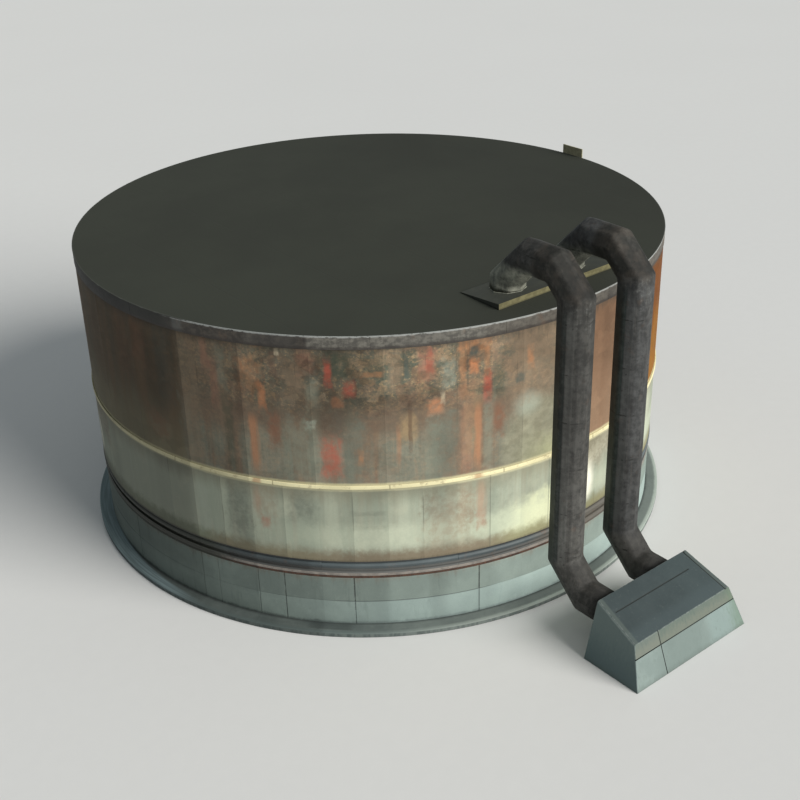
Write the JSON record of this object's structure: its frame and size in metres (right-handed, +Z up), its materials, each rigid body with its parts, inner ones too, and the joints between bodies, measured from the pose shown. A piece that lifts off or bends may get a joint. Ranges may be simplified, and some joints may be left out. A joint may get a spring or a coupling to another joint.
{
  "type": "oil storage tank",
  "caption": "Upright round oil storage tank: plated steel shell on a concrete plinth, shallow cone roof, and mitred ducts from the roof down to a concrete block.",
  "frame": {"origin": "on the tank's axis at ground level, the middle of the footing's underside", "axes": "+Z up along the tank's axis; the ducts and their concrete block are on the -Y side"},
  "size_m": [12.52, 15.314, 7.174],
  "materials": {
    "plinth_concrete": null,
    "footing_concrete": "dark damp cast concrete",
    "block_concrete": "cast concrete with fine joints",
    "bedding": "bitumen bedding stained with rust",
    "bottom_steel": "pale weathered paint on the edge of the bottom plate",
    "skirt_steel": "slate paint, worn on the half-round",
    "lower_paint": "pale grey-green paint, streaked and stained along its lower edge",
    "upper_rust": "patchy rust, old paint and red primer with orange runs",
    "ring_paint": "pale yellow paint, dirty",
    "curb_steel": "worn grey steel",
    "roof_cover": "dark matt roof coating",
    "pad_paint": "dark top with a khaki front edge",
    "duct_steel": "dark weathered steel plate, dusty and rust-tinted",
    "plate_paint": "dark khaki paint, pale at its edges"
  },
  "bodies": {
    "root": {"footing": "footing_concrete", "plinth": "plinth_concrete", "bedding_layer": "bedding", "bottom_plate": "bottom_steel", "skirt_ring": "skirt_steel", "shell_lower_01": "lower_paint", "shell_lower_02": "lower_paint", "shell_lower_03": "lower_paint", "shell_lower_04": "lower_paint", "shell_lower_05": "lower_paint", "shell_lower_06": "lower_paint", "shell_lower_07": "lower_paint", "shell_lower_08": "lower_paint", "shell_lower_09": "lower_paint", "shell_lower_10": "lower_paint", "shell_upper_01": "upper_rust", "shell_upper_02": "upper_rust", "shell_upper_03": "upper_rust", "shell_upper_04": "upper_rust", "shell_upper_05": "upper_rust", "shell_upper_06": "upper_rust", "shell_upper_07": "upper_rust", "shell_upper_08": "upper_rust", "shell_upper_09": "upper_rust", "shell_upper_10": "upper_rust", "stiffener_ring": "ring_paint", "curb_ring": "curb_steel", "roof": "roof_cover", "roof_pad": "pad_paint", "duct_a_drop_leg": "duct_steel", "duct_a_inner_mitre": "duct_steel", "duct_a_crossover": "duct_steel", "duct_a_outer_mitre": "duct_steel", "duct_a_riser": "duct_steel", "duct_a_lower_mitre": "duct_steel", "duct_a_outlet": "duct_steel", "duct_b_drop_leg": "duct_steel", "duct_b_inner_mitre": "duct_steel", "duct_b_crossover": "duct_steel", "duct_b_outer_mitre": "duct_steel", "duct_b_riser": "duct_steel", "duct_b_lower_mitre": "duct_steel", "duct_b_outlet": "duct_steel", "outlet_block": "block_concrete", "rim_plate": "plate_paint"}
  },
  "joints": []
}
